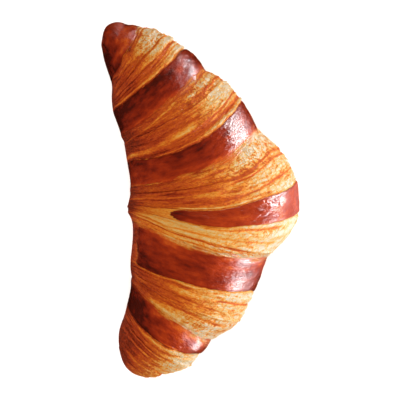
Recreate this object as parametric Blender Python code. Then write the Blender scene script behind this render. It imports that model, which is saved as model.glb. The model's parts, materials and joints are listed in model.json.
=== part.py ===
"""A butter croissant, as one baked solid lying on its flat underside.

The croissant is a sheet of dough rolled up and bent into a crescent, so it is lofted in fan coordinates:
every point has an angle round the crescent's centre, a reach from that centre, and a height.
Frame: metres, +X along the crescent from one tip to the other, +Y towards its outer (convex) side, +Z up,
with the origin at the base, in the middle of the box round the croissant.
"""

import math
from collections import namedtuple

import bmesh
import bpy
from mathutils import Vector

MM = 0.001

# The lines round the roll, from tip to tip, that give it its steps. Each crosses the outer side, the crest
# and the inner side at an angle of its own, in degrees. There it reaches from one distance to another from
# the crescent's centre, and stands so high above the tray, in millimetres.
#   tip      a pole, where the roll ends
#   swell    the fullest ring of an end
#   edge     the rim of a browned, egg-washed band, standing proud
#   fade     the valley at that band's other side, where its brown fades out
#   crease   the lip of torn dough between that valley and the next rim
Line = namedtuple("Line", "kind outer crest inner far near high")
LINES = (
    Line("tip", -56.6, -56.6, -56.6, 103.4, 103.4, 13.0),
    Line("swell", -52.6, -52.4, -52.2, 110.8, 91.6, 23.5),
    Line("fade", -49.9, -47.9, -45.3, 113.6, 85.1, 28.0),
    Line("crease", -44.4, -43.2, -41.4, 118.6, 80.0, 33.5),
    Line("edge", -39.2, -38.1, -37.6, 121.0, 76.7, 37.5),
    Line("fade", -33.5, -30.3, -29.8, 122.4, 74.0, 40.0),
    Line("crease", -29.0, -25.9, -26.5, 127.5, 73.5, 43.5),
    Line("edge", -23.8, -17.9, -19.8, 131.0, 71.4, 47.5),
    Line("fade", -17.6, -10.7, -10.3, 133.2, 69.8, 50.0),
    Line("crease", -11.9, -6.8, -7.4, 141.2, 69.2, 52.0),
    Line("edge", -5.8, -1.2, -3.6, 145.9, 67.9, 54.0),
    Line("edge", -0.1, 3.0, -2.5, 146.0, 67.4, 54.5),
    Line("crease", 7.7, 6.4, -0.6, 134.9, 67.5, 53.0),
    Line("fade", 8.9, 9.4, 3.1, 132.9, 69.7, 51.2),
    Line("edge", 15.6, 18.4, 17.2, 131.0, 72.0, 49.2),
    Line("crease", 22.4, 24.4, 22.0, 128.7, 74.6, 45.5),
    Line("fade", 28.9, 28.8, 24.8, 120.6, 75.9, 41.8),
    Line("edge", 32.6, 35.4, 32.1, 119.3, 79.2, 39.5),
    Line("crease", 36.2, 38.1, 35.4, 118.7, 80.8, 35.5),
    Line("swell", 41.6, 41.8, 41.4, 112.6, 84.2, 29.0),
    Line("tip", 46.9, 46.9, 46.9, 98.4, 98.4, 13.0),
)

# The dough between two lines swells by so much. A section is widest at this share of its height, and its
# lower half, before the tray cuts it flat, would reach this many times as deep.
ZONE_SWELL = 0.4
WAIST_SHARE = 0.42
KEEL_SHARE = 1.25
SIDE_POWER = 0.94
CREST_POWER = 0.96

ROWS_PER_ZONE = 5
TIP_ROWS = 6
COLUMNS = 40
SMOOTH_ANGLE = math.radians(50)

CRUST_COLOUR = (0.32, 0.09, 0.02, 1.0)
CRUST_ROUGHNESS = 0.38


def clear_scene():
    for obj in list(bpy.data.objects):
        bpy.data.objects.remove(obj)


def slopes(values):
    """The slope of a curve at each of its evenly spaced knots, flat at every peak and valley."""
    steps = [b - a for a, b in zip(values, values[1:])]
    inner = [2 * a * b / (a + b) if a * b > 0 else 0.0 for a, b in zip(steps, steps[1:])]
    return [steps[0], *inner, steps[-1]]


def through(values, place):
    """A smooth curve through values at 0, 1, 2 and so on, which never overshoots them, read at place."""
    index = min(int(place), len(values) - 2)
    t = place - index
    tangents = slopes(values)
    start, end = values[index], values[index + 1]
    return (
        start
        + (end - start) * t * t * (3 - 2 * t)
        + tangents[index] * t * (1 - t) ** 2
        - tangents[index + 1] * t * t * (1 - t)
    )


def rounding_off(values, place):
    """The same for a size that shrinks to 0 at both tips: its square is joined up, which makes them round."""
    return math.sqrt(max(0.0, through([value**2 for value in values], place)))


def waist(line):
    """The height at which the croissant is widest there."""
    return line.high if line.kind == "tip" else line.high * WAIST_SHARE


def keel(line):
    return 0.0 if line.kind == "tip" else waist(line) * KEEL_SHARE


def powered(value, power):
    return math.copysign(abs(value) ** power, value)


def point(place, turn):
    """The surface at a place along the lines and a turn round the section."""
    across = math.cos(turn)
    up = math.sin(turn)
    outer = through([line.outer for line in LINES], place)
    crest = through([line.crest for line in LINES], place)
    inner = through([line.inner for line in LINES], place)
    middle = (outer + inner) / 2
    angle = math.radians(middle + (outer - inner) / 2 * across + (crest - middle) * max(0.0, up) ** 2)

    width = rounding_off([(line.far - line.near) / 2 for line in LINES], place)
    rise = rounding_off([line.high - waist(line) for line in LINES], place)
    depth = rounding_off([keel(line) for line in LINES], place)
    swell = ZONE_SWELL * math.sin(math.pi * (place % 1)) ** 2 * max(0.0, up)
    reach = through([(line.far + line.near) / 2 for line in LINES], place)
    reach += (width + swell) * powered(across, SIDE_POWER)
    height = through([waist(line) for line in LINES], place)
    height += ((rise + swell) if up > 0 else depth) * powered(up, CREST_POWER)
    return Vector((reach * math.sin(angle), reach * math.cos(angle), height)) * MM


def places():
    """The rows of the loft between the two poles, closest together where the tips round off."""
    last = len(LINES) - 1
    rows = [((row + 1) / TIP_ROWS) ** 2 for row in range(TIP_ROWS)]
    rows += [1 + (row + 1) / ROWS_PER_ZONE for row in range((last - 2) * ROWS_PER_ZONE)]
    rows += [last - (row / TIP_ROWS) ** 2 for row in range(TIP_ROWS - 1, 0, -1)]
    return rows


def loft(mesh):
    """Rings of points bridged into one skin, and closed at both tips."""
    start = mesh.verts.new(point(0, math.pi / 2))
    end = mesh.verts.new(point(len(LINES) - 1, math.pi / 2))
    rings = []
    for place in places():
        turns = [2 * math.pi * column / COLUMNS for column in range(COLUMNS)]
        ring = [mesh.verts.new(point(place, turn)) for turn in turns]
        rings.append([mesh.edges.new((a, b)) for a, b in zip(ring, ring[1:] + ring[:1])])
        if len(rings) > 1:
            bmesh.ops.bridge_loops(mesh, edges=rings[-2] + rings[-1])
    for pole, ring in ((start, rings[0]), (end, rings[-1])):
        for edge in ring:
            mesh.faces.new((pole, *edge.verts))


def flatten_underside(mesh):
    """Cuts off what lies below the baking tray and closes the cut with one flat face."""
    every = mesh.verts[:] + mesh.edges[:] + mesh.faces[:]
    bmesh.ops.bisect_plane(mesh, geom=every, plane_co=(0, 0, 0), plane_no=(0, 0, -1), clear_outer=True)
    rim = [edge for edge in mesh.edges if edge.is_boundary]
    base = bmesh.ops.contextual_create(mesh, geom=rim)["faces"]
    bmesh.ops.triangulate(mesh, faces=base)
    bmesh.ops.recalc_face_normals(mesh, faces=mesh.faces)


def centre_on_box(mesh):
    """Moves the middle of the box to the origin, with the base left at height 0."""
    low = Vector([min(vert.co[axis] for vert in mesh.verts) for axis in range(3)])
    high = Vector([max(vert.co[axis] for vert in mesh.verts) for axis in range(3)])
    middle = (low + high) / 2
    bmesh.ops.translate(mesh, verts=mesh.verts, vec=(-middle.x, -middle.y, 0))


def crust_material():
    material = bpy.data.materials.new("crust")
    material.use_nodes = True
    shader = material.node_tree.nodes["Principled BSDF"]
    shader.inputs["Base Color"].default_value = CRUST_COLOUR
    shader.inputs["Roughness"].default_value = CRUST_ROUGHNESS
    shader.inputs["Metallic"].default_value = 0.0
    return material


def build_croissant():
    mesh = bmesh.new()
    loft(mesh)
    flatten_underside(mesh)
    centre_on_box(mesh)
    data = bpy.data.meshes.new("croissant")
    mesh.to_mesh(data)
    mesh.free()
    data.materials.append(crust_material())
    data.shade_smooth()
    data.set_sharp_from_angle(angle=SMOOTH_ANGLE)
    croissant = bpy.data.objects.new("croissant", data)
    bpy.context.scene.collection.objects.link(croissant)


clear_scene()
build_croissant()
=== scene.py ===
"""The looks of a butter croissant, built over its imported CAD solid.

The crust is one fine skin over the same crescent as the CAD solid. It is laid out in fan coordinates: an
angle round the crescent's centre, a reach from that centre, and a height. A place says how far along the
crescent a point is, counted in the lines where the roll's turns meet, and a turn goes round the section.
Sizes in the tables and in the relief are millimetres, and the mesh is metres, as the frame is.
"""

import json
import math
from collections import namedtuple

import bpy
import numpy as np
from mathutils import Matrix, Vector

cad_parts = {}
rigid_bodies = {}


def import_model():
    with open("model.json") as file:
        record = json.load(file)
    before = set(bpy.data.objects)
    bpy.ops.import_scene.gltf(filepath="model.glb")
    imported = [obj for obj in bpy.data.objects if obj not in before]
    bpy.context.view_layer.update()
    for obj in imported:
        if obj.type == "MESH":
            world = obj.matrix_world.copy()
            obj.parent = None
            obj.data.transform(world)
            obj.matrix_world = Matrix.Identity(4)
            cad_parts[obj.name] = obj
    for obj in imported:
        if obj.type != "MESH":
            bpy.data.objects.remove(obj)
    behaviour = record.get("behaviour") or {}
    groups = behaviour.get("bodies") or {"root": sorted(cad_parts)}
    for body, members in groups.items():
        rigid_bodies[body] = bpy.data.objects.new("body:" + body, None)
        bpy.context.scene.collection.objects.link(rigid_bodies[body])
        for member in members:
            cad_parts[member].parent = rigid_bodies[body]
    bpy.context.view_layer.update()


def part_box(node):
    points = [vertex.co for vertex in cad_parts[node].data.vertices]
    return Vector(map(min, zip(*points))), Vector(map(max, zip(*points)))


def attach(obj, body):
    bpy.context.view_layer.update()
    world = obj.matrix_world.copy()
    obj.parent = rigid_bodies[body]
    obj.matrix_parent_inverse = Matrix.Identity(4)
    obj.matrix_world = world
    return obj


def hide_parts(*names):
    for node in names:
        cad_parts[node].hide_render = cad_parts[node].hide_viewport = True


MM = 0.001
NODE = "croissant"

# The lines round the roll, from the slim tip to the blunt one, as in the CAD solid. Each crosses the outer
# side, the crest and the inner side at an angle of its own, in degrees. There it reaches from one distance
# to another from the crescent's centre, and stands so high above the tray.
#   tip      a pole, where the roll ends
#   swell    the fullest ring of an end
#   edge     the rim of a browned, egg-washed band, standing proud
#   fade     the valley at that band's other side, where its brown fades out
#   crease   the lip of torn dough between that valley and the next rim
Line = namedtuple("Line", "kind outer crest inner far near high")
LINES = (
    Line("tip", -56.6, -56.6, -56.6, 103.4, 103.4, 13.0),
    Line("swell", -52.6, -52.4, -52.2, 110.8, 91.6, 23.5),
    Line("fade", -49.9, -47.9, -45.3, 113.6, 85.1, 28.0),
    Line("crease", -44.4, -43.2, -41.4, 118.6, 80.0, 33.5),
    Line("edge", -39.2, -38.1, -37.6, 121.0, 76.7, 37.5),
    Line("fade", -33.5, -30.3, -29.8, 122.4, 74.0, 40.0),
    Line("crease", -29.0, -25.9, -26.5, 127.5, 73.5, 43.5),
    Line("edge", -23.8, -17.9, -19.8, 131.0, 71.4, 47.5),
    Line("fade", -17.6, -10.7, -10.3, 133.2, 69.8, 50.0),
    Line("crease", -11.9, -6.8, -7.4, 141.2, 69.2, 52.0),
    Line("edge", -5.8, -1.2, -3.6, 145.9, 67.9, 54.0),
    Line("edge", -0.1, 3.0, -2.5, 146.0, 67.4, 54.5),
    Line("crease", 7.7, 6.4, -0.6, 134.9, 67.5, 53.0),
    Line("fade", 8.9, 9.4, 3.1, 132.9, 69.7, 51.2),
    Line("edge", 15.6, 18.4, 17.2, 131.0, 72.0, 49.2),
    Line("crease", 22.4, 24.4, 22.0, 128.7, 74.6, 45.5),
    Line("fade", 28.9, 28.8, 24.8, 120.6, 75.9, 41.8),
    Line("edge", 32.6, 35.4, 32.1, 119.3, 79.2, 39.5),
    Line("crease", 36.2, 38.1, 35.4, 118.7, 80.8, 35.5),
    Line("swell", 41.6, 41.8, 41.4, 112.6, 84.2, 29.0),
    Line("tip", 46.9, 46.9, 46.9, 98.4, 98.4, 13.0),
)

# The dough between each line and the next one.
#   glaze    egg-washed, brown and glossy
#   tongue   the same, on the rounded end of the last turn
#   fibres   stretched, torn dough that opened in the oven
#   layers   the rolled sheet's cut side, with so many of its layers showing, packed towards its sharp edge
# rim is 1 where the sharp edge is at the zone's end, and 0 where it is at its start. inner, crest and outer
# say how far the zone is baked there: 0 is pale and 1 is dark.
Zone = namedtuple("Zone", "kind layers rim inner crest outer")
ZONES = (
    Zone("glaze", 0, 0, 0.74, 0.64, 0.55),
    Zone("glaze", 0, 0, 0.95, 0.44, 0.34),
    Zone("fibres", 3, 0, 0.86, 0.65, 0.20),
    Zone("layers", 4, 1, 0.86, 0.67, 0.16),
    Zone("glaze", 0, 0, 0.76, 0.72, 0.70),
    Zone("fibres", 0, 0, 0.92, 0.78, 0.46),
    Zone("layers", 4, 1, 0.86, 0.71, 0.24),
    Zone("glaze", 0, 0, 0.48, 0.62, 0.60),
    Zone("fibres", 0, 0, 0.78, 0.67, 0.24),
    Zone("layers", 4, 1, 0.76, 0.65, 0.22),
    Zone("tongue", 0, 0, 0.56, 0.53, 0.40),
    Zone("layers", 2, 0, 0.38, 0.22, 0.09),
    Zone("fibres", 0, 1, 0.52, 0.25, 0.12),
    Zone("glaze", 0, 1, 0.58, 0.50, 0.48),
    Zone("layers", 4, 0, 0.80, 0.57, 0.15),
    Zone("fibres", 0, 1, 0.85, 0.50, 0.16),
    Zone("glaze", 0, 1, 1.12, 0.50, 0.40),
    Zone("layers", 3, 0, 0.76, 0.71, 0.16),
    Zone("layers", 4, 0, 1.00, 0.74, 0.26),
    Zone("layers", 3, 0, 1.18, 0.84, 0.52),
)

# The strands that stand out: dark seams, sunk between two layers, and pale ridges, drawn out along the roll.
# A seam's tone is partly the browner edge of its layers and partly painted shade in its groove, and the pale
# ridges along the glazed edges have painted highlights in their tone. Each crosses the inner side, the crest
# and the outer side at a place of its own. It runs from one share of the width to another, where -1 is the
# inner side and 1 the outer one. Its half-width and its lift, which is below 0 for a groove, are in
# millimetres, and its tone is added to the baking around it.
Strand = namedtuple("Strand", "inner crest outer start end width tone lift")
STRANDS = (
    Strand(1.60, 1.68, 1.70, -0.5, 0.4, 1.1, -0.28, 0.0),
    Strand(1.92, 2.02, 2.06, -1.2, 1.2, 0.50, 0.42, -0.45),
    Strand(2.00, 2.14, 2.22, -0.3, 1.2, 0.45, 0.46, -0.35),
    Strand(2.10, 2.45, 2.45, -1.2, 0.1, 0.45, -0.18, 0.25),
    Strand(2.20, 2.72, 2.90, -1.2, 0.3, 0.45, 0.25, -0.30),
    Strand(2.60, 2.58, 2.56, 0.1, 1.3, 1.90, -0.16, 0.30),
    Strand(3.05, 2.97, 3.00, -0.4, 1.2, 0.45, 0.38, -0.45),
    Strand(3.25, 3.28, 3.26, 0.0, 1.3, 1.00, -0.18, 0.30),
    Strand(3.40, 3.42, 3.44, -1.2, 0.9, 0.40, 0.25, -0.30),
    Strand(3.64, 3.62, 3.50, -1.2, 1.2, 0.62, 0.42, -0.60),
    Strand(3.80, 3.74, 3.68, -0.1, 1.2, 0.35, 0.32, -0.30),
    # A pale ridge by a glazed edge: its tone is partly a painted highlight.
    Strand(3.86, 3.88, 3.87, -1.0, 1.2, 0.42, -0.24, 0.45),
    Strand(5.30, 5.18, 5.14, 0.3, 1.2, 0.35, 0.38, -0.30),
    Strand(5.92, 5.35, 5.20, -1.2, 0.2, 0.50, -0.22, 0.25),
    Strand(5.50, 5.46, 5.42, 0.3, 1.2, 0.75, -0.30, 0.35),
    Strand(5.70, 5.66, 5.70, 0.5, 1.2, 0.60, 0.32, 0.25),
    Strand(6.25, 6.12, 6.05, -1.3, -0.3, 2.20, 0.22, 0.0),
    Strand(6.10, 6.18, 6.20, -0.6, 0.4, 0.40, 0.24, -0.30),
    Strand(6.45, 6.38, 6.30, -1.0, 0.3, 0.45, 0.26, -0.35),
    Strand(6.76, 6.56, 6.40, -1.3, 0.15, 1.50, -0.34, 0.30),
    Strand(6.40, 6.34, 6.30, 0.5, 1.3, 2.40, -0.16, 0.20),
    Strand(6.72, 6.70, 6.62, 0.1, 1.2, 0.48, 0.48, -0.40),
    Strand(6.95, 6.81, 6.80, -1.2, 1.2, 0.65, 0.46, -0.55),
    # A pale ridge by a glazed edge: its tone is partly a painted highlight.
    Strand(6.97, 6.93, 6.92, -0.6, 1.2, 0.32, -0.24, 0.45),
    Strand(8.40, 8.40, 8.40, 0.1, 0.45, 0.80, 0.18, 0.0),
    Strand(8.30, 8.36, 8.36, 0.35, 1.3, 2.10, -0.18, 0.20),
    Strand(9.03, 9.05, 9.10, -1.2, 0.0, 0.50, 0.36, -0.45),
    Strand(9.00, 8.99, 8.88, 0.2, 1.3, 0.55, 0.52, 0.40),
    Strand(9.12, 9.14, 9.06, 0.3, 1.3, 0.42, 0.56, -0.60),
    Strand(9.25, 9.25, 9.25, -0.4, 0.15, 0.60, 0.28, -0.25),
    Strand(9.40, 9.38, 9.32, -1.2, 0.1, 0.60, -0.16, 0.20),
    Strand(9.55, 9.66, 9.70, -0.2, 0.4, 0.90, 0.24, 0.0),
    Strand(9.75, 9.74, 9.60, 0.4, 1.3, 0.42, 0.42, -0.40),
    # A pale ridge above the last turn's end: its tone is partly a painted highlight.
    Strand(9.90, 9.93, 9.93, -0.45, 0.4, 0.35, -0.40, 0.30),
    # The pale ridge under the last turn's end: its tone is a painted highlight.
    Strand(11.04, 11.06, 11.05, 0.25, 0.86, 0.50, -0.80, 0.70),
    Strand(11.18, 11.19, 11.15, -0.1, 0.80, 0.55, 0.32, -0.40),
    Strand(11.30, 11.28, 11.30, -0.7, 0.6, 1.10, -0.10, 0.20),
    Strand(11.70, 11.66, 11.60, -0.9, 0.9, 0.38, 0.20, -0.25),
    Strand(12.15, 12.18, 12.10, -0.8, 0.7, 0.42, 0.34, -0.40),
    Strand(12.55, 12.62, 12.50, -0.7, 0.5, 0.38, 0.26, -0.30),
    Strand(13.40, 13.38, 13.38, 0.3, 0.8, 1.10, -0.25, 0.0),
    Strand(13.35, 13.35, 13.40, -0.7, 0.0, 1.00, -0.12, 0.0),
    # A pale ridge by a glazed edge: its tone is partly a painted highlight.
    Strand(14.03, 14.04, 14.04, -0.9, 0.5, 0.32, -0.26, 0.35),
    Strand(14.14, 14.16, 14.12, -1.2, 0.0, 0.50, 0.34, -0.45),
    Strand(14.30, 14.34, 14.34, -0.3, 0.4, 1.20, -0.26, 0.20),
    Strand(14.20, 14.20, 14.20, 0.55, 1.3, 0.90, -0.16, 0.25),
    Strand(14.62, 14.56, 14.50, -1.2, 0.1, 0.50, 0.30, -0.45),
    Strand(14.40, 14.36, 14.36, 0.45, 1.1, 0.38, 0.44, -0.40),
    Strand(14.60, 14.62, 14.78, -0.1, 0.6, 0.42, 0.32, -0.40),
    Strand(14.88, 14.86, 14.80, -1.2, 0.0, 0.45, 0.22, -0.30),
    Strand(15.22, 15.20, 15.22, -1.2, 0.8, 0.60, 0.34, -0.40),
    Strand(15.40, 15.36, 15.36, 0.35, 0.85, 0.80, -0.22, 0.20),
    Strand(15.92, 15.80, 15.84, -0.5, 1.2, 1.00, -0.28, 0.25),
    Strand(16.50, 16.20, 16.10, -0.35, 0.1, 1.20, -0.30, 0.0),
    # A pale ridge along a glazed rim: its tone is a painted highlight.
    Strand(16.94, 16.92, 16.94, 0.0, 0.5, 0.38, -0.60, 0.35),
    Strand(17.25, 17.20, 17.22, -0.5, 0.8, 0.50, -0.30, 0.35),
    Strand(17.55, 17.52, 17.50, -1.2, 0.5, 0.50, 0.24, -0.40),
    Strand(17.70, 17.72, 17.75, 0.6, 1.3, 2.20, -0.14, 0.10),
    Strand(17.92, 17.96, 18.00, -1.2, 0.6, 0.45, 0.26, -0.40),
    Strand(18.12, 18.12, 18.05, -0.8, 0.4, 0.50, -0.22, 0.25),
    Strand(18.30, 18.30, 18.22, -1.2, 0.3, 0.50, 0.26, -0.35),
    Strand(18.40, 18.42, 18.42, 0.2, 0.8, 1.40, -0.20, 0.20),
    Strand(18.70, 18.77, 18.75, -0.3, 1.0, 0.60, 0.36, -0.45),
    Strand(19.00, 19.00, 19.00, 0.6, 1.3, 0.90, 0.25, -0.90),
    Strand(18.50, 18.56, 18.60, -0.9, 0.2, 0.45, -0.20, 0.25),
    Strand(19.10, 19.12, 19.10, -1.2, 0.5, 0.50, 0.26, -0.35),
    Strand(19.30, 19.30, 19.20, -0.5, 0.8, 0.70, -0.24, 0.20),
    Strand(19.45, 19.46, 19.44, -1.0, 0.6, 0.45, 0.26, -0.30),
)

# The section, as in the CAD solid: how far a zone swells between its lines, the section's widest level, how
# deep its lower half would reach, and its squareness.
ZONE_SWELL = 0.4
WAIST_SHARE = 0.42
KEEL_SHARE = 1.25
SIDE_POWER = 0.94
CREST_POWER = 0.96

# The fine skin. The rows of a zone go by its width at the crest and by how much detail it carries.
ROW_GAP = {"glaze": 0.36, "tongue": 0.30, "fibres": 0.25, "layers": 0.24}
UPPER_COLUMNS = 112
LOWER_COLUMNS = 36
SKIRT_ANGLE = math.radians(24)
TIP_ROWS_POWER = 2.0
MEAN_RADIUS = 30.0
MEAN_REACH = 104.0
MM_PER_DEGREE = math.radians(1) * MEAN_REACH
TRAY_ROUNDING = 1.2
UV_MARGIN = 0.004

# Random hills that the dough's details follow: their size along the roll, across it and up, the seed of
# their draws, and how many layers of smaller and smaller hills they hold.
Hills = namedtuple("Hills", "size seed octaves")
BOUNDARY_DRIFT = Hills((14, 16, 16), 3, 1)
BOUNDARY_WIGGLES = Hills((5, 8, 8), 5, 3)
WASH_STREAKS = Hills((1.3, 12, 12), 11, 3)
WASH_PATCHES = Hills((3.5, 6, 6), 17, 3)
LUMPS = Hills((20, 22, 22), 23, 1)
SMALL_LUMPS = Hills((8, 10, 10), 29, 1)
DENTS = Hills((4.0, 6, 6), 31, 3)
SMALL_DENTS = Hills((1.6, 3.2, 3.2), 37, 2)
LAYER_WANDER = Hills((9, 22, 22), 41, 2)
LAYER_GAPS = Hills((3.0, 14, 14), 43, 1)
WEB_STRANDS = Hills((1.5, 6, 6), 47, 2)
WEB_KNOTS = Hills((2.4, 3.6, 3.6), 53, 3)
BAKE_PATCHES = Hills((8, 14, 14), 61, 1)
BAKE_STREAKS = Hills((2.2, 11, 11), 67, 3)
TAN_PATCHES = Hills((6, 11, 11), 71, 1)
TAN_STREAKS = Hills((2, 6, 6), 73, 3)
FLANK_WOBBLE = Hills((4, 6, 6), 83, 3)
STRAND_WANDER = Hills((6, 9, 9), 87, 2)
STRAND_WIDTHS = Hills((5, 9, 9), 89, 1)
STRAND_STRENGTHS = Hills((4, 7, 7), 91, 1)
SHINE_PATCHES = Hills((2.5, 7, 7), 97, 3)

# The layers of a cut side: how much more tightly they are packed towards its sharp edge, the step from one to
# the next, how much more it is on the outer side, and the groove between them.
LAYER_PACKING = 1.6
LAYER_STEP = 0.32
OUTER_LAYER_STEP = 0.30
LAYER_GROOVE_DEPTH = 0.25
LAYER_GROOVE_WIDTH = 0.32

# At a crease, a lip of layers stands out with a bead along it, and the dough below it dips. A groove runs
# along each sharp edge. The shades are painted shade: how much darker the dough is painted in the creases
# and the edge grooves, from 0 to 1, standing in for the shadow of the lip and of the groove.
LIP_HEIGHT = 0.50
LIP_REACH = 2.5
BEAD_HEIGHT = 0.25
BEAD_PLACE = 0.6
BEAD_WIDTH = 0.6
DIP_DEPTH = 0.45
DIP_REACH = 1.2
CREASE_SHADE = 0.36
EDGE_GROOVE_DEPTH = 0.35
EDGE_GROOVE_WIDTH = 0.28
EDGE_SHADE = 0.55

# How far from the crest a strand's inner and outer places are, and a zone's inner and outer tones, and how
# far to either side of its ends a strand fades. All three are shares of half the width.
STRAND_REACH = 0.8
TONE_REACH = 0.6
STRAND_FADE = 0.1

# So many zones make up the slim tip, which is glazed all over. NOT_FADING and NO_GROOVE stand for the
# distances where a zone has no fading side or no grooves.
CAP_ZONES = 2
NOT_FADING = -99.0
NO_GROOVE = 9.0

# The last turn's end: where its rounded end is, over how much of the width it rounds off, and how far it
# stands out.
TONGUE_TIP = -0.46
TONGUE_TAPER = 0.14
TONGUE_HEIGHT = 0.6

# On the inner side, the third band's wash stops short of the side, and the last turn's end makes a dark knob.
FLANK_ZONE = 13
FLANK_EDGE = -0.86
KNOB_PLACE = 11.3
KNOB_HALF_WIDTH = 5.0

# Where the wash is thin: zones, and the shares of the width between which their gloss rises. In the third
# band a duller stripe runs along it, at a share of its breadth.
SHINE_RISES = (
    ((3, 4), 0.58, 0.74),
    ((7, 8), 0.42, 0.62),
    ((13,), 0.50, 0.72),
    ((16,), 0.62, 0.78),
)
SHINE_GAP_SHARE = 0.36

# Two of the bands have a full shoulder on their outer side: where it is, how wide and how high.
SHOULDER_ZONES = (4, 16)
SHOULDER_PLACE = 0.84
SHOULDER_WIDTH = 0.20
SHOULDER_HEIGHT = 1.5

# How far the dough is baked on the base, on the flank, where it is palest on the inner side, where it is
# darkest, and in its darkest seams.
BASE_TONE = 0.62
FLANK_TONE = 0.72
PALEST_GOLD = 0.26
DARKEST_DOUGH = 1.02
DARKEST_SEAM = 0.78

# The shares of the width between which the crust darkens towards the inner side, partly from more baking
# and partly as painted shade, and again at its very edge, where the darkening is painted shade.
INNER_SIDE_BAKE_AND_SHADE = (-0.60, -0.95)
INNER_EDGE_SHADE = (-0.86, -0.99)

CAMERA_HEIGHT = 1.60
CAMERA_LENS = 308.0
SENSOR_WIDTH = 36.0


def smooth(low, high, value):
    """0 below low, 1 above high, and an even rise between them."""
    t = np.clip((value - low) / (high - low), 0.0, 1.0)
    return t * t * (3 - 2 * t)


def bell(distance, width):
    """1 at distance 0, falling off over about width to either side."""
    return np.exp(-((distance / width) ** 2))


def scattered(cell, seed):
    """A repeatable random number from -1 to 1 for each whole-numbered cell of space."""
    x, y, z = (cell[..., axis].astype(np.int64) for axis in range(3))
    mixed = (x * 73856093) ^ (y * 19349663) ^ (z * 83492791) ^ (seed * 26544357)
    mixed = ((mixed ^ (mixed >> 13)) * 12741261) & 0xFFFFFFFF
    mixed = ((mixed ^ (mixed >> 15)) * 97531) & 0xFFFFFFFF
    return ((mixed >> 8) & 0xFFFF) / 32767.5 - 1


def smooth_hills(points, size, seed):
    """Smooth random hills from -1 to 1, about as far apart as size, which differs along each axis."""
    scaled = points / size
    cell = np.floor(scaled)
    t = scaled - cell
    t = t * t * t * (t * (t * 6 - 15) + 10)
    total = 0.0
    for corner in np.ndindex(2, 2, 2):
        weight = np.prod(np.where(corner, t, 1 - t), axis=-1)
        total = total + weight * scattered(cell + corner, seed)
    return total


def hills(points, kind):
    """Hills of a kind, with smaller hills on them where it has more octaves than one."""
    size = np.array(kind.size, float)
    return sum(smooth_hills(points, size / 2**n, kind.seed + n) / 2**n for n in range(kind.octaves))


def slopes(values):
    """The slope of a curve at each of its evenly spaced knots, flat at every peak and valley."""
    steps = np.diff(values)
    product = steps[:-1] * steps[1:]
    total = steps[:-1] + steps[1:]
    inner = np.where(product > 0, 2 * product / np.where(total == 0, 1, total), 0.0)
    return np.concatenate([steps[:1], inner, steps[-1:]])


def through(values, place):
    """A smooth curve through values at 0, 1, 2 and so on, which never overshoots them, read at place."""
    values = np.asarray(values, float)
    index = np.clip(np.floor(place).astype(int), 0, len(values) - 2)
    t = place - index
    tangents = slopes(values)
    start, end = values[index], values[index + 1]
    return (
        start
        + (end - start) * t * t * (3 - 2 * t)
        + tangents[index] * t * (1 - t) ** 2
        - tangents[index + 1] * t * t * (1 - t)
    )


def rounding_off(values, place):
    """The same for a size that shrinks to 0 at both tips: its square is joined up, which makes them round."""
    return np.sqrt(np.maximum(0.0, through([value**2 for value in values], place)))


def powered(value, power):
    return np.sign(value) * np.abs(value) ** power


def waist(line):
    """The height at which the croissant is widest there."""
    return line.high if line.kind == "tip" else line.high * WAIST_SHARE


def keel(line):
    return 0.0 if line.kind == "tip" else waist(line) * KEEL_SHARE


def bent(inner, crest, outer, side):
    """A value that is inner at side -1, crest at 0 and outer at 1, and follows a curve in between."""
    return crest + (outer - inner) / 2 * side + ((outer + inner) / 2 - crest) * side**2


def degrees_at(outer, crest, inner, across, up):
    """Where a line that crosses the outer side, the crest and the inner side there runs in between."""
    middle = (outer + inner) / 2
    return middle + (outer - inner) / 2 * across + (crest - middle) * np.maximum(0.0, up) ** 2


def fan_surface(place, turn, relief):
    """Angle, reach and height of the skin, with the relief standing out along the section's normal."""
    across = np.cos(turn)
    up = np.sin(turn)
    outer, crest, inner = (through([getattr(line, side) for line in LINES], place) for side in
                           ("outer", "crest", "inner"))
    angle = degrees_at(outer, crest, inner, across, up)
    width = rounding_off([(line.far - line.near) / 2 for line in LINES], place)
    rise = rounding_off([line.high - waist(line) for line in LINES], place)
    depth = rounding_off([keel(line) for line in LINES], place)
    swell = ZONE_SWELL * np.sin(np.pi * (place % 1)) ** 2 * np.maximum(0.0, up) + relief
    reach = through([(line.far + line.near) / 2 for line in LINES], place)
    reach = reach + (width + swell) * powered(across, SIDE_POWER)
    height = through([waist(line) for line in LINES], place)
    height = height + (np.where(up > 0, rise, depth) + swell) * powered(up, CREST_POWER)
    return np.radians(angle), reach, height


def on_tray(height):
    """Heights with everything below the tray pressed flat on it, over a small rounding."""
    return 0.5 * (height + np.sqrt(height**2 + TRAY_ROUNDING**2))


def crest_width(index):
    return (LINES[index + 1].crest - LINES[index].crest) * MM_PER_DEGREE


def row_places():
    """The places of the rows between the two poles, closer together where the tips round off."""
    places = []
    last = len(ZONES) - 1
    for index, zone in enumerate(ZONES):
        count = max(8, round(crest_width(index) / ROW_GAP[zone.kind]))
        t = np.arange(count) / count
        if index == 0:
            t = (np.arange(1, count + 1) / (count + 1)) ** TIP_ROWS_POWER
        if index == last:
            t = 1 - (1 - t) ** TIP_ROWS_POWER
        places.append(index + t)
    return np.concatenate(places)


def column_turns():
    """Turns round the section, closer together over the top and the sides than under the base."""
    upper = np.linspace(-SKIRT_ANGLE, math.pi + SKIRT_ANGLE, UPPER_COLUMNS, endpoint=False)
    lower = np.linspace(math.pi + SKIRT_ANGLE, 2 * math.pi - SKIRT_ANGLE, LOWER_COLUMNS, endpoint=False)
    return np.concatenate([upper, lower])


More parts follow.
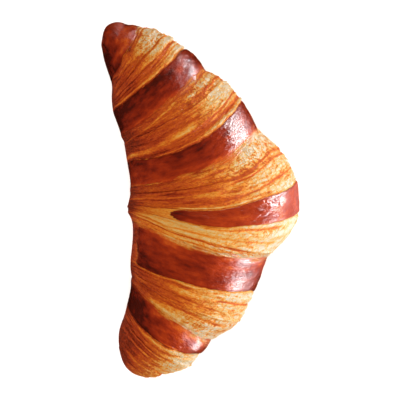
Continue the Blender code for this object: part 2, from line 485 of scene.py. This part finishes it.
class Dough:
    """What the dough is like at each point of a grid of places and turns. across and up say where a point
    is in its ring, from -1 to 1, and both shrink to 0 at the tips. relief is in millimetres, wash is the egg
    wash, web is how torn the dough is, and the two bakings, of the dough and of the egg wash, say how dark
    they are from baking and from painted shade."""

    def __init__(self, place, turn):
        self.place = place
        self.column = np.broadcast_to(np.arange(place.shape[1]), place.shape)
        self.round_across, self.round_up = np.cos(turn[0]), np.sin(turn[0])
        from_tip = np.clip(np.minimum(place, len(ZONES) - place), 0.0, 1.0)
        ring = np.sqrt(1 - (1 - from_tip) ** 2)
        self.across, self.up = np.cos(turn) * ring, np.sin(turn) * ring
        self.flow = self.flow_coordinates(place)
        self.bounds = self.line_degrees()
        self.drift()
        self.tongue = self.tongue_mask()
        self.wash = self.egg_wash()
        strand_tone, strand_lift = self.strands()
        details = self.lumps() + self.layers() + self.fibres() + self.lips() + self.glaze_swell()
        fading = smooth(0.5, 5.0, self.width) * smooth(-1.05, -0.75, self.across)
        self.relief = (details + strand_lift) * fading + self.knob()
        self.web = self.torn_web(strand_tone)
        self.bake = np.maximum(self.toned(self.browning_and_shading(), strand_tone), self.palest())
        self.tan = self.toned(self.tanning_and_shading(), strand_tone)

    def flow_coordinates(self, place):
        """Millimetres along the roll, and round it. A line of the roll is a plane here, so noise that is
        long round the roll runs along its lines."""
        along = through([line.crest for line in LINES], place) * MM_PER_DEGREE
        return np.stack([along, MEAN_RADIUS * self.across, MEAN_RADIUS * self.up], axis=-1)

    def hills(self, kind):
        return hills(self.flow, kind)

    def line_degrees(self):
        """Each line's angle at every column, first axis line, then columns."""
        sides = (self.round_across, self.round_up)
        return np.stack([degrees_at(line.outer, line.crest, line.inner, *sides) for line in LINES])

    def millimetres(self, place, column):
        """How far along the roll a place is at a column, measured round the crescent's middle."""
        index = np.clip(np.floor(place).astype(int), 0, len(LINES) - 2)
        start, end = self.bounds[index, column], self.bounds[index + 1, column]
        return (start + (end - start) * (place - index)) * MM_PER_DEGREE

    def drift(self):
        """Moves the boundaries about a little, so that none is a perfect curve. Sets each point's zone, its
        share of the way through it, the zone's width there, the distances to its two lines and the distance
        along the roll, in millimetres."""
        widths = np.maximum(1.0, np.diff(self.bounds, axis=0) * MM_PER_DEGREE)
        index = np.clip(np.floor(self.place).astype(int), 0, len(ZONES) - 1)
        shift = 0.8 * self.hills(BOUNDARY_DRIFT) + 0.3 * self.hills(BOUNDARY_WIGGLES)
        reach = np.clip(shift / widths[index, self.column], -0.3, 0.3)
        ends = smooth(0.0, 1.0, self.place) * smooth(0.0, 1.0, len(ZONES) - self.place)
        drifted = np.clip(self.place + reach * ends, 0, len(ZONES) - 1e-6)
        self.zone = np.floor(drifted).astype(int)
        self.width = widths[self.zone, self.column]
        self.since = (drifted - self.zone) * self.width
        self.until = (1 + self.zone - drifted) * self.width
        self.share = drifted - self.zone
        self.along = self.millimetres(drifted, self.column)

    def within(self, *kinds):
        return np.isin(self.zone, [index for index, zone in enumerate(ZONES) if zone.kind in kinds])

    def of_zone(self, field):
        return np.array([getattr(zone, field) for zone in ZONES])[self.zone]

    def of_line(self, kind, offset):
        """Whether the line at the zone's start (offset 0) or end (offset 1) is of this kind."""
        return np.array([line.kind == kind for line in LINES])[self.zone + offset]

    def both_lines(self):
        """For the zone's start and its end: its offset, and how far away it is."""
        return (0, self.since), (1, self.until)

    def tongue_mask(self):
        """The last turn's rounded end, which tapers off towards the inner side."""
        taper = np.clip((self.across - TONGUE_TIP) / TONGUE_TAPER, 0.0, 1.0)
        half = np.sqrt(1 - (1 - taper) ** 2)
        inside = (half - np.abs(2 * self.share - 1)) * self.width / 2
        return np.where(self.within("tongue"), smooth(0.0, 0.4, inside), 0.0) * (self.up > -0.6)

    def flank(self):
        """1 where the third band's wash stops short of the inner side."""
        wobble = 0.08 * self.hills(FLANK_WOBBLE)
        strip = smooth(FLANK_EDGE + 0.06, FLANK_EDGE - 0.08, self.across + wobble)
        strip = strip * smooth(-0.85, -0.35, self.up + wobble)
        return strip * (self.zone == FLANK_ZONE)

    def egg_wash(self):
        """1 on the glazed bands. Each has one sharp side, and one that fades out in mottled streaks. The
        slim tip is glazed all over. Sets how far inside the fading side a point is, in millimetres."""
        streaks = 0.7 * self.hills(WASH_STREAKS) + 0.6 * self.hills(WASH_PATCHES)
        glazed = self.within("glaze")
        self.fading = np.full(self.place.shape, NOT_FADING)
        for offset, distance in self.both_lines():
            here = self.of_line("fade", offset)
            self.fading = np.where(here & glazed, distance, self.fading)
            self.fading = np.where(here & self.within("fibres"), -distance, self.fading)
        faded = smooth(-3.0, 2.5, self.fading + 1.8 * streaks)
        sharp = np.ones_like(self.fading)
        for offset, distance in self.both_lines():
            here = self.of_line("edge", offset) & glazed
            sharp = np.where(here, sharp * smooth(0.0, 0.35, distance), sharp)
        sharp = np.where(glazed | self.within("fibres"), sharp, 0.0)
        faded = np.where(self.within("layers", "tongue"), 0.0, faded)
        cap = (self.zone < CAP_ZONES) & glazed
        cap_edge = smooth(-0.4, 0.8, self.until + 0.5 * streaks)
        faded = np.where(cap, np.where(self.zone == CAP_ZONES - 1, cap_edge, 1.0), faded)
        washed = np.maximum(faded * sharp, self.tongue) * (1 - self.flank())
        return washed * smooth(-0.75, -0.1, self.up)

    def shine(self):
        """How glossy the egg wash is: it dried thinner on some parts of the bands."""
        shine = 0.85 + 0.25 * self.hills(SHINE_PATCHES)
        for zones, dullest, glossiest in SHINE_RISES:
            rise = smooth(dullest, glossiest, self.across)
            shine = np.where(np.isin(self.zone, zones), shine * (0.10 + 0.90 * rise), shine)
        gap = bell(self.share - SHINE_GAP_SHARE, 0.2) * (self.zone == FLANK_ZONE)
        lower = smooth(0.35, 0.75, self.share) * self.within("tongue")
        outermost = smooth(0.76, 0.92, self.across) * self.within("tongue")
        return np.clip(shine * (1 - 0.75 * gap) * (1 - 0.7 * lower) * (1 - outermost), 0.0, 1.0)

    def strands(self):
        """The tone and the lift of the strands. The tone holds painted shade in the seams and painted
        highlights on the pale ridges by the glazed edges.
        """
        side = np.where(self.round_up > 0, self.round_across, np.sign(self.round_across))
        column = np.arange(len(side))
        along = self.along + 0.22 * self.hills(STRAND_WANDER)
        thick = 1 + 0.35 * self.hills(STRAND_WIDTHS)
        strong = 1 + 0.45 * self.hills(STRAND_STRENGTHS)
        tone = np.zeros_like(self.place)
        lift = np.zeros_like(self.place)
        for strand in STRANDS:
            place = bent(strand.inner, strand.crest, strand.outer, side / STRAND_REACH)
            here = smooth(strand.start - STRAND_FADE, strand.start + STRAND_FADE, side)
            here = here * smooth(strand.end + STRAND_FADE, strand.end - STRAND_FADE, side)
            distance = along - self.millimetres(place, column)
            body = here * bell(distance, strand.width * thick)
            tone = tone + strand.tone * strong * body
            lift = lift + strand.lift * body
        return tone, lift

    def toned(self, base, tone):
        """Adds a tone to the baking, less of it where the dough is nearly as dark or as pale already."""
        base = np.clip(base, 0.0, DARKEST_DOUGH)
        toned = base + 1.1 * tone * np.where(tone > 0, 1.5 - 0.9 * base, 0.5 + 0.5 * base)
        return np.minimum(toned, np.maximum(base, DARKEST_SEAM))

    def palest(self):
        """The dough is cream on the outer side only. Further in it is golden at its palest."""
        return PALEST_GOLD * smooth(0.75, 0.1, self.across)

    def lumps(self):
        return 0.50 * self.hills(LUMPS) + 0.22 * self.hills(SMALL_LUMPS)

    def knob(self):
        """The dark knob where the last turn is tucked in on the inner side. Sets where it is."""
        place = np.full(self.bounds.shape[1], KNOB_PLACE)
        distance = self.along - self.millimetres(place, np.arange(len(place)))
        rounded = bell(distance, KNOB_HALF_WIDTH)
        self.knobbed = rounded * smooth(-0.78, -0.95, self.across) * smooth(-0.7, 0.0, self.up)
        return 0.3 * self.knobbed - 1.1 * self.knobbed * bell(distance - 0.8, 1.6)

    def glaze_swell(self):
        """The glazed bands are smooth and full, with a few soft dents. Some have a full outer shoulder."""
        full = 0.40 * np.sin(np.pi * self.share) ** 0.8 * self.within("glaze")
        dents = 0.17 * self.hills(DENTS) + 0.07 * self.hills(SMALL_DENTS)
        proud = TONGUE_HEIGHT * self.tongue
        shoulder = bell(self.across - SHOULDER_PLACE, SHOULDER_WIDTH) * np.sin(np.pi * self.share) ** 0.5
        shoulder = SHOULDER_HEIGHT * shoulder * np.isin(self.zone, SHOULDER_ZONES)
        return full + proud + shoulder + dents * self.wash

    def layers(self):
        """Steps between the layers of the cut side, and fine grooves, which come and go along it. Sets how
        far away the nearest groove is, and where they are open."""
        towards = np.where(self.of_zone("rim") == 1, self.share, 1 - self.share)
        count = self.of_zone("layers")
        phase = count * towards**LAYER_PACKING + 0.45 * self.hills(LAYER_WANDER)
        packing = count * LAYER_PACKING * towards ** (LAYER_PACKING - 1)
        spacing = self.width / np.maximum(packing, 0.3)
        self.nearest = np.abs(phase - np.round(phase)) * spacing + NO_GROOVE * (count == 0)
        self.open = smooth(-0.4, 0.6, self.hills(LAYER_GAPS))
        groove = LAYER_GROOVE_DEPTH * bell(self.nearest, LAYER_GROOVE_WIDTH) * self.open
        high = LAYER_STEP + OUTER_LAYER_STEP * smooth(0.2, 0.8, self.across)
        step = high * (phase - np.floor(phase) - 0.5) * (count > 0)
        return (step - groove) * (1 - self.wash)

    def open_dough(self):
        """How open the unwashed dough is: most of all in the zones of fibres."""
        return (1 - self.wash) * np.where(self.within("fibres"), 1.0, 0.7)

    def outward(self):
        """More of it tears on the outer side."""
        return 0.25 + 0.75 * smooth(-0.3, 0.7, self.across)

    def fibres(self):
        """Webs of torn dough, drawn out along the roll's lines."""
        web = 1 - 2 * np.abs(self.hills(WEB_STRANDS)) + self.hills(WEB_KNOTS)
        return self.open_dough() * (0.18 + 0.12 * self.outward()) * web

    def torn_web(self, strand_tone):
        """How torn the dough looks. It is whole beside a dark seam, so that the seam stays crisp."""
        seam = np.clip(2.6 * strand_tone, 0.0, 1.0)
        painted_slit_shade = np.clip(self.painted_slit_shade, 0.0, 0.5)
        return self.open_dough() * self.outward() * (1 - 0.75 * seam) * (1 - 1.4 * painted_slit_shade)

    def lips(self):
        """The rolled lip at each crease, and the groove along each glazed edge. Sets the painted shade in
        them.
        """
        total = np.zeros_like(self.place)
        self.painted_slit_shade = np.zeros_like(self.place)
        layered = self.within("layers")
        for offset, distance in self.both_lines():
            crease = self.of_line("crease", offset)
            bead = BEAD_HEIGHT * bell(distance - BEAD_PLACE, BEAD_WIDTH)
            proud = LIP_HEIGHT * np.exp(-distance / LIP_REACH) + bead
            sunk = -DIP_DEPTH * np.exp(-distance / DIP_REACH)
            total = np.where(crease, total + np.where(layered, proud, sunk), total)
            shade = CREASE_SHADE * bell(distance - 0.1, 0.30) * ~layered
            self.painted_slit_shade = np.where(crease, np.maximum(self.painted_slit_shade, shade), self.painted_slit_shade)
            edge = self.of_line("edge", offset) & ~self.within("tongue")
            groove = EDGE_GROOVE_DEPTH * bell(distance, EDGE_GROOVE_WIDTH)
            total = np.where(edge, total - groove, total)
            shade = EDGE_SHADE * bell(distance - 0.05, 0.26) * layered
            self.painted_slit_shade = np.where(edge, np.maximum(self.painted_slit_shade, shade), self.painted_slit_shade)
        return total

    def near_rim(self, reach):
        """1 on the sharp edges of the glazed bands, falling off over reach inside them."""
        near = np.zeros_like(self.place)
        for offset, distance in self.both_lines():
            here = self.of_line("edge", offset) & self.within("glaze")
            near = np.where(here, np.maximum(near, np.exp(-distance / reach)), near)
        return near

    def zone_tone(self):
        """How far the dough's zone is baked there."""
        side = np.clip(self.across / TONE_REACH, -1, 1)
        tones = [bent(zone.inner, zone.crest, zone.outer, side) for zone in ZONES]
        return np.take_along_axis(np.stack(tones), self.zone[None], 0)[0]

    def browning_and_shading(self):
        """0 for pale dough and 1 for dark. It is darkest on the inner side, partly from baking and partly as
        painted shade, and painted shade darkens its creases, edge grooves and layer grooves.
        """
        bake = self.zone_tone()
        bake = bake + (FLANK_TONE - bake) * self.flank()
        # Painted shade on the inner side, on top of its deeper baking, and more painted shade at its very
        # edge.
        bake = bake + 0.08 * smooth(*INNER_SIDE_BAKE_AND_SHADE, self.across) + 0.12 * smooth(*INNER_EDGE_SHADE, self.across)
        bake = bake - 0.08 * smooth(0.5, 1.0, self.across)
        bake = bake + 0.10 * self.hills(BAKE_PATCHES) + 0.08 * self.hills(BAKE_STREAKS)
        # Darker beside the open layer grooves: partly the browner layer edges, partly painted shade in the
        # grooves.
        bake = bake + 0.16 * bell(self.nearest, 0.45) * self.open
        # Painted shade in the creases and the edge grooves, then the dark knob.
        bake = bake + 0.6 * self.painted_slit_shade + 0.35 * self.knobbed
        under = smooth(0.0, -0.8, self.up)
        return bake * (1 - under) + BASE_TONE * under

    def tanning_and_shading(self):
        """The same for the egg-washed bands: darkest along their rims, palest where they fade, and with
        painted shade on the inner side.
        """
        tan = self.zone_tone()
        # The same painted shade on the inner side of the egg wash, and at its very edge.
        tan = tan + 0.08 * smooth(*INNER_SIDE_BAKE_AND_SHADE, self.across) + 0.20 * smooth(*INNER_EDGE_SHADE, self.across)
        tan = tan + 0.22 * self.near_rim(4.0) * smooth(0.8, -0.2, self.across)
        fades = (self.zone >= CAP_ZONES) & (self.fading > NOT_FADING)
        tan = tan - 0.35 * smooth(5.0, -1.0, self.fading) * fades
        tan = tan + 0.18 * self.hills(TAN_PATCHES) + 0.14 * self.hills(TAN_STREAKS)
        tip = self.within("tongue") * smooth(TONGUE_TIP + 0.25, TONGUE_TIP, self.across)
        return tan + 0.35 * tip + 0.6 * self.knobbed


def ring_faces(rows, columns):
    """The quads of a tube of rings, and the triangles that close its two ends on one point each."""
    row, column = np.meshgrid(np.arange(rows - 1), np.arange(columns), indexing="ij")
    after = (column + 1) % columns
    first = 1 + row * columns
    quads = np.stack([first + column, first + after, first + columns + after, first + columns + column], -1)
    column = np.arange(columns)
    after = (column + 1) % columns
    start = np.stack([np.zeros_like(column), after + 1, column + 1], -1)
    last_ring = 1 + (rows - 1) * columns
    end = np.stack([np.full_like(column, last_ring + columns), last_ring + column, last_ring + after], -1)
    return quads.reshape(-1, 4), start, end


def add_attribute(mesh, name, values, kind="FLOAT"):
    """Stores one value for each vertex, for the material to read."""
    attribute = mesh.attributes.new(name, kind, "POINT")
    field = "vector" if kind == "FLOAT_VECTOR" else "value"
    attribute.data.foreach_set(field, np.ascontiguousarray(values, np.float32).ravel())


def with_poles(values):
    """A grid of values as one list, with each end's mean standing for its pole."""
    flat = values.reshape(-1, *values.shape[2:])
    return np.concatenate([values[:1].mean(axis=1), flat, values[-1:].mean(axis=1)])


def unwrap(mesh, rows, columns):
    """A map of the skin with the roll's length along u and its round along v, cut open under the base."""
    shift = np.argmin(np.abs(column_turns() - 1.5 * math.pi))
    place = np.concatenate([[0.0], np.repeat(np.arange(rows) + 1, columns), [rows + 1]]) / (rows + 1)
    column = (np.arange(columns) - shift) % columns
    rounds = np.concatenate([[0.0], np.tile(column, rows), [0.0]])
    corner = np.empty(len(mesh.loops), np.int32)
    mesh.loops.foreach_get("vertex_index", corner)
    totals = np.empty(len(mesh.polygons), np.int32)
    mesh.polygons.foreach_get("loop_total", totals)
    owner = np.repeat(np.arange(len(totals)), totals)
    u = place[corner]
    v = rounds[corner]
    pole = (corner == 0) | (corner == len(place) - 1)
    highest = np.full(len(totals), -1.0)
    lowest = np.full(len(totals), np.inf)
    np.maximum.at(highest, owner[~pole], v[~pole])
    np.minimum.at(lowest, owner[~pole], v[~pole])
    wrapped = (highest - lowest)[owner] > columns / 2
    v = np.where(wrapped & (v < 1) & ~pole, columns, v)
    middle = np.where((highest - lowest) > columns / 2, columns - 0.5, (highest + lowest) / 2)
    v = np.where(pole, middle[owner], v)
    layer = mesh.uv_layers.new(name="OFBake")
    pairs = UV_MARGIN + np.stack([u, v / columns], -1) * (1 - 2 * UV_MARGIN)
    layer.data.foreach_set("uv", np.ascontiguousarray(pairs, np.float32).ravel())


def build_skin():
    """The croissant's skin as one closed mesh over the CAD solid's box."""
    places, turns = row_places(), column_turns()
    place, turn = np.meshgrid(places, turns, indexing="ij")
    dough = Dough(place, turn)
    # The relief fades out towards the tray and at the tips.
    standing = smooth(-0.85, -0.35, dough.up) * smooth(0.0, 0.35, np.minimum(place, len(ZONES) - place))
    angle, reach, height = fan_surface(place, turn, dough.relief * standing)
    height = on_tray(height)
    points = np.stack([reach * np.sin(angle), reach * np.cos(angle), height], -1)
    points = with_poles(points) * MM
    low, high = points.min(axis=0), points.max(axis=0)
    box_low, box_high = (np.array(corner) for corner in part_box(NODE))
    points += ((box_low + box_high) / 2 - (low + high) / 2) * (1, 1, 0)
    points[:, 2] += box_low[2] - low[2]
    quads, start, end = ring_faces(*place.shape)
    faces = quads.tolist() + start.tolist() + end.tolist()
    mesh = bpy.data.meshes.new("crust_skin")
    mesh.from_pydata(points.tolist(), [], faces)
    mesh.update()
    grids = {"glaze": dough.wash, "bake": dough.bake, "tan": dough.tan, "web": dough.web}
    grids["shine"] = dough.shine()
    for name, grid in grids.items():
        add_attribute(mesh, name, with_poles(grid))
    add_attribute(mesh, "flow", with_poles(dough.flow), "FLOAT_VECTOR")
    unwrap(mesh, *place.shape)
    mesh.shade_smooth()
    skin = bpy.data.objects.new("croissant_skin", mesh)
    bpy.context.scene.collection.objects.link(skin)
    return skin


# The sizes of the crust's grain along the roll, across it and up, and of the cells whose borders are its
# cracks: in millimetres, as the hills above. CRACK_BEND is how far the borders wander, and CRACK_WIDTH how
# wide they are, as a share of a cell. The depths of the grain are in metres.
STRAND_GRAIN = (0.70, 6.0, 6.0)
SPECK_GRAIN = (0.8, 1.4, 1.4)
PEBBLE_GRAIN = (1.1, 2.6, 2.6)
BLOTCH_GRAIN = (2.6, 5.0, 5.0)
CRACK_CELLS = (1.0, 3.8, 3.8)
CRACK_BEND = 1.6
CRACK_WIDTH = 0.15
DARKEST_CRACK = 0.72
GRAIN_DEPTH = 0.0012
PEBBLE_DEPTH = 0.0006
COAT_ROUGHNESS = 0.07
COAT_IOR = 1.9
DOUGH_SPECULAR = 0.06


class Nodes:
    """Short forms for building a material's nodes."""

    def __init__(self, material):
        material.use_nodes = True
        self.tree = material.node_tree
        self.shader = self.tree.nodes["Principled BSDF"]

    def add(self, kind, inputs, **settings):
        """A node with these settings, and these values or sockets plugged into its inputs."""
        node = self.tree.nodes.new(kind)
        for name, value in settings.items():
            setattr(node, name, value)
        for name, value in inputs.items():
            self.plug(value, node.inputs[name])
        return node

    def plug(self, value, socket):
        if isinstance(value, bpy.types.NodeSocket):
            self.tree.links.new(value, socket)
        else:
            socket.default_value = value

    def attribute(self, name, output="Fac"):
        return self.add("ShaderNodeAttribute", {}, attribute_name=name).outputs[output]

    def math(self, operation, first, second=0.0, third=0.0):
        inputs = {0: first, 1: second, 2: third}
        return self.add("ShaderNodeMath", inputs, operation=operation).outputs[0]

    def vector_math(self, operation, inputs):
        return self.add("ShaderNodeVectorMath", inputs, operation=operation).outputs[0]

    def rise(self, value, low, high):
        """0 below low, 1 above high."""
        inputs = {"Value": value, "From Min": low, "From Max": high}
        return self.add("ShaderNodeMapRange", inputs, interpolation_type="SMOOTHSTEP").outputs["Result"]

    def mix(self, amount, first, second):
        inputs = {"Factor": amount, 6: first, 7: second}
        return self.add("ShaderNodeMix", inputs, data_type="RGBA").outputs[2]

    def ramp(self, value, stops):
        node = self.add("ShaderNodeValToRGB", {"Fac": value})
        elements = node.color_ramp.elements
        while len(elements) < len(stops):
            elements.new(0.5)
        for element, (position, colour) in zip(elements, stops):
            element.position = position
            element.color = (*colour, 1.0)
        return node.outputs["Color"]

    def shrunk(self, vector, stretch):
        """The vector with each axis divided by its stretch."""
        return self.vector_math("MULTIPLY", {0: vector, 1: [1 / size for size in stretch]})

    def noise(self, vector, stretch, detail=3.0, roughness=0.55):
        """Noise with hills as far apart as stretch, in the vector's own units."""
        inputs = {"Vector": self.shrunk(vector, stretch), "Scale": 1.0}
        inputs.update({"Detail": detail, "Roughness": roughness})
        return self.add("ShaderNodeTexNoise", inputs).outputs["Fac"]

    def cracks(self, vector, stretch, warp):
        """1 along the borders of cells of this size, and 0 inside them. The warp bends the borders."""
        noise = self.add("ShaderNodeTexNoise", {"Vector": vector, "Scale": 0.7})
        warped = self.vector_math("SCALE", {0: noise.outputs["Color"], "Scale": 2 * warp})
        moved = self.vector_math("ADD", {0: vector, 1: warped})
        inputs = {"Vector": self.shrunk(moved, stretch), "Scale": 1.0}
        cells = self.add("ShaderNodeTexVoronoi", inputs, feature="DISTANCE_TO_EDGE")
        return self.rise(cells.outputs["Distance"], CRACK_WIDTH, 0.0)

    def bump(self, height, distance, normal=None):
        node = self.add("ShaderNodeBump", {"Distance": distance, "Height": height})
        if normal is not None:
            self.plug(normal, node.inputs["Normal"])
        return node.outputs["Normal"]


# The colours of the dough and of the egg wash as they bake. BAKE_SCALE fits the dough's bakings, which go
# past 1 where it is nearly burnt, into its ramp.
BAKE_SCALE = 0.8
PALE_DOUGH = (
    (0.00, (0.86, 0.66, 0.42)),
    (0.16, (0.91, 0.54, 0.155)),
    (0.32, (0.93, 0.325, 0.033)),
    (0.48, (0.78, 0.153, 0.013)),
    (0.64, (0.52, 0.058, 0.010)),
    (0.74, (0.34, 0.033, 0.007)),
    (0.80, (0.21, 0.023, 0.005)),
    (1.00, (0.06, 0.010, 0.003)),
)
GLAZED_CRUST = (
    (0.00, (0.74, 0.130, 0.012)),
    (0.30, (0.47, 0.043, 0.005)),
    (0.60, (0.30, 0.021, 0.003)),
    (0.85, (0.17, 0.010, 0.002)),
    (1.00, (0.08, 0.006, 0.002)),
)


def crust_colour(nodes, streaks, spotted, blotches, mottle, crazed, web, wash):
    """Dough that is dark along its cracks, and brown where it is glazed."""
    contrast = nodes.math("MULTIPLY_ADD", web, 1.30, 0.22)
    spotted_bake = nodes.math("MULTIPLY_ADD", spotted, 0.55, nodes.attribute("bake"))
    streaked = nodes.math("SUBTRACT", nodes.math("MULTIPLY_ADD", streaks, contrast, spotted_bake), 0.07)
    cracked = nodes.math("MINIMUM", nodes.math("MULTIPLY_ADD", crazed, 0.46, streaked), DARKEST_CRACK)
    browned = nodes.math("MAXIMUM", cracked, streaked)
    dough = nodes.ramp(nodes.math("MULTIPLY", browned, BAKE_SCALE), PALE_DOUGH)
    blotched_tan = nodes.math("MULTIPLY_ADD", blotches, 0.75, nodes.attribute("tan"))
    glazed = nodes.ramp(nodes.math("MULTIPLY_ADD", mottle, 0.40, blotched_tan), GLAZED_CRUST)
    nodes.plug(nodes.mix(wash, dough, glazed), nodes.shader.inputs["Base Color"])


def crust_gloss(nodes, specks, wash):
    """A clear coat over the egg wash, and satin dough."""
    dull = nodes.math("MULTIPLY_ADD", specks, 0.25, 0.40)
    gloss = nodes.math("MULTIPLY_ADD", specks, 0.20, 0.30)
    dull_share = nodes.math("MULTIPLY", dull, nodes.math("SUBTRACT", 1.0, wash))
    rough = nodes.math("ADD", dull_share, nodes.math("MULTIPLY", gloss, wash))
    nodes.plug(rough, nodes.shader.inputs["Roughness"])
    glossy = nodes.math("MULTIPLY", wash, nodes.attribute("shine"))
    nodes.plug(nodes.math("MULTIPLY_ADD", glossy, 0.95, 0.05), nodes.shader.inputs["Coat Weight"])
    nodes.shader.inputs["Coat Roughness"].default_value = COAT_ROUGHNESS
    nodes.shader.inputs["Coat IOR"].default_value = COAT_IOR
    nodes.shader.inputs["Specular IOR Level"].default_value = DOUGH_SPECULAR


def crust_grain(nodes, pebbles, mottle, crazed, wash):
    """Bumps: torn grain on the dough, and faint pebbles in the glaze."""
    torn = nodes.math("MULTIPLY_ADD", crazed, -0.25, mottle)
    unglazed = nodes.math("SUBTRACT", 1.0, nodes.math("MULTIPLY", wash, 0.90))
    grained = nodes.bump(nodes.math("MULTIPLY", torn, unglazed), GRAIN_DEPTH)
    pebbled = nodes.bump(nodes.math("MULTIPLY", pebbles, wash), PEBBLE_DEPTH, normal=grained)
    nodes.plug(pebbled, nodes.shader.inputs["Normal"])
    nodes.plug(pebbled, nodes.shader.inputs["Coat Normal"])


def crust_material():
    """Egg-washed bands that are brown and glossy, and pale, fibrous, satin dough between them."""
    material = bpy.data.materials.new("crust")
    nodes = Nodes(material)
    flow = nodes.attribute("flow", "Vector")
    web = nodes.attribute("web")
    specks = nodes.noise(flow, SPECK_GRAIN, detail=4.0, roughness=0.65)
    pebbles = nodes.noise(flow, PEBBLE_GRAIN, roughness=0.6)
    streaks = nodes.math("SUBTRACT", nodes.noise(flow, STRAND_GRAIN, detail=3.5, roughness=0.60), 0.5)
    spotted = nodes.math("SUBTRACT", specks, 0.5)
    blotches = nodes.math("SUBTRACT", nodes.noise(flow, BLOTCH_GRAIN), 0.5)
    mottle = nodes.math("MULTIPLY_ADD", streaks, 0.7, nodes.math("MULTIPLY", spotted, 0.5))
    crazed = nodes.math("MULTIPLY", nodes.cracks(flow, CRACK_CELLS, CRACK_BEND), web)
    wash = nodes.rise(nodes.math("MULTIPLY_ADD", mottle, 0.7, nodes.attribute("glaze")), 0.15, 0.85)
    crust_colour(nodes, streaks, spotted, blotches, mottle, crazed, web, wash)
    crust_gloss(nodes, specks, wash)
    crust_grain(nodes, pebbles, mottle, crazed, wash)
    return material


def plain_material(name, colour, roughness):
    material = bpy.data.materials.new(name)
    nodes = Nodes(material)
    nodes.plug((*colour, 1.0), nodes.shader.inputs["Base Color"])
    nodes.plug(roughness, nodes.shader.inputs["Roughness"])
    return material


def build_floor():
    bpy.ops.mesh.primitive_plane_add(size=6.0, location=(0, 0, 0))
    floor = bpy.context.object
    floor.name = "floor"
    floor.data.materials.append(plain_material("floor_paper", (0.86, 0.86, 0.86), 0.9))
    floor.visible_diffuse = False
    floor.visible_glossy = False
    return floor


# What the window, its panes and the side lamp point at, in metres.
LIGHT_AIM = (0, 0, 0.03)


def only_lights(light, obj):
    """Lets a light fall on one object only."""
    group = bpy.data.collections.new(light.name + "_receivers")
    group.objects.link(obj)
    light.light_linking.receiver_collection = group


def add_light(name, place, aim, size, power, colour=(1, 1, 1)):
    data = bpy.data.lights.new(name, "AREA")
    data.shape = "RECTANGLE"
    data.size, data.size_y = size
    data.energy = power
    data.color = colour
    light = bpy.data.objects.new(name, data)
    light.location = place
    direction = np.array(aim, float) - np.array(place, float)
    flat = math.hypot(direction[0], direction[1])
    light.rotation_euler = (math.atan2(flat, -direction[2]), 0, math.atan2(-direction[0], direction[1]))
    bpy.context.scene.collection.objects.link(light)
    return light


def only_reflected(light, obj):
    """Lets a light show in the gloss of one object, and light nothing."""
    light.visible_diffuse = False
    only_lights(light, obj)


def build_lights(skin, floor):
    """A wide, low window on the croissant's outer side, and pale light all round, which don't show in the
    glaze. What shows in it are two panes, a lamp at the side and the lit table. The ceiling only lights the
    floor."""
    window = add_light("window", (0, 0.95, 0.19), LIGHT_AIM, (1.40, 0.30), 12.5, (0.78, 0.94, 1.32))
    window.visible_glossy = False
    only_lights(window, skin)
    for side in (-1, 1):
        place = (0.46 * side, 0.90, 0.16)
        pane = add_light("window_pane", place, LIGHT_AIM, (0.62, 0.28), 17.5, (0.97, 0.98, 1.0))
        only_reflected(pane, skin)
    lamp = add_light("side_lamp", (-0.90, 0.20, 0.16), LIGHT_AIM, (0.30, 0.16), 1.7, (1.0, 0.97, 0.98))
    only_reflected(lamp, skin)
    table = add_light("lit_table", (0, 0.27, 0.001), (0, 0.27, 1), (1.40, 0.42), 4.4, (1.0, 0.93, 0.98))
    table.visible_camera = False
    only_reflected(table, skin)
    ceiling = add_light("ceiling", (0, 0, 1.5), (0, 0, 0), (3.0, 3.0), 75.0)
    only_lights(ceiling, floor)
    world = bpy.data.worlds.new("studio")
    world.use_nodes = True
    background = world.node_tree.nodes["Background"]
    background.inputs["Color"].default_value = (1.0, 0.95, 0.87, 1.0)
    background.inputs["Strength"].default_value = 0.83
    world.cycles_visibility.glossy = False
    bpy.context.scene.world = world


def build_camera():
    data = bpy.data.cameras.new("camera")
    data.lens = CAMERA_LENS
    data.sensor_width = SENSOR_WIDTH
    camera = bpy.data.objects.new("camera", data)
    camera.location = (0, 0, CAMERA_HEIGHT)
    camera.rotation_euler = (0, 0, math.pi / 2)
    bpy.context.scene.collection.objects.link(camera)
    bpy.context.scene.camera = camera


for obj in list(bpy.data.objects):
    bpy.data.objects.remove(obj)
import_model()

skin = build_skin()
skin.data.materials.append(crust_material())
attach(skin, "root")
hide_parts(NODE)

floor = build_floor()
build_lights(skin, floor)
build_camera()
bpy.context.scene.view_settings.view_transform = "Standard"
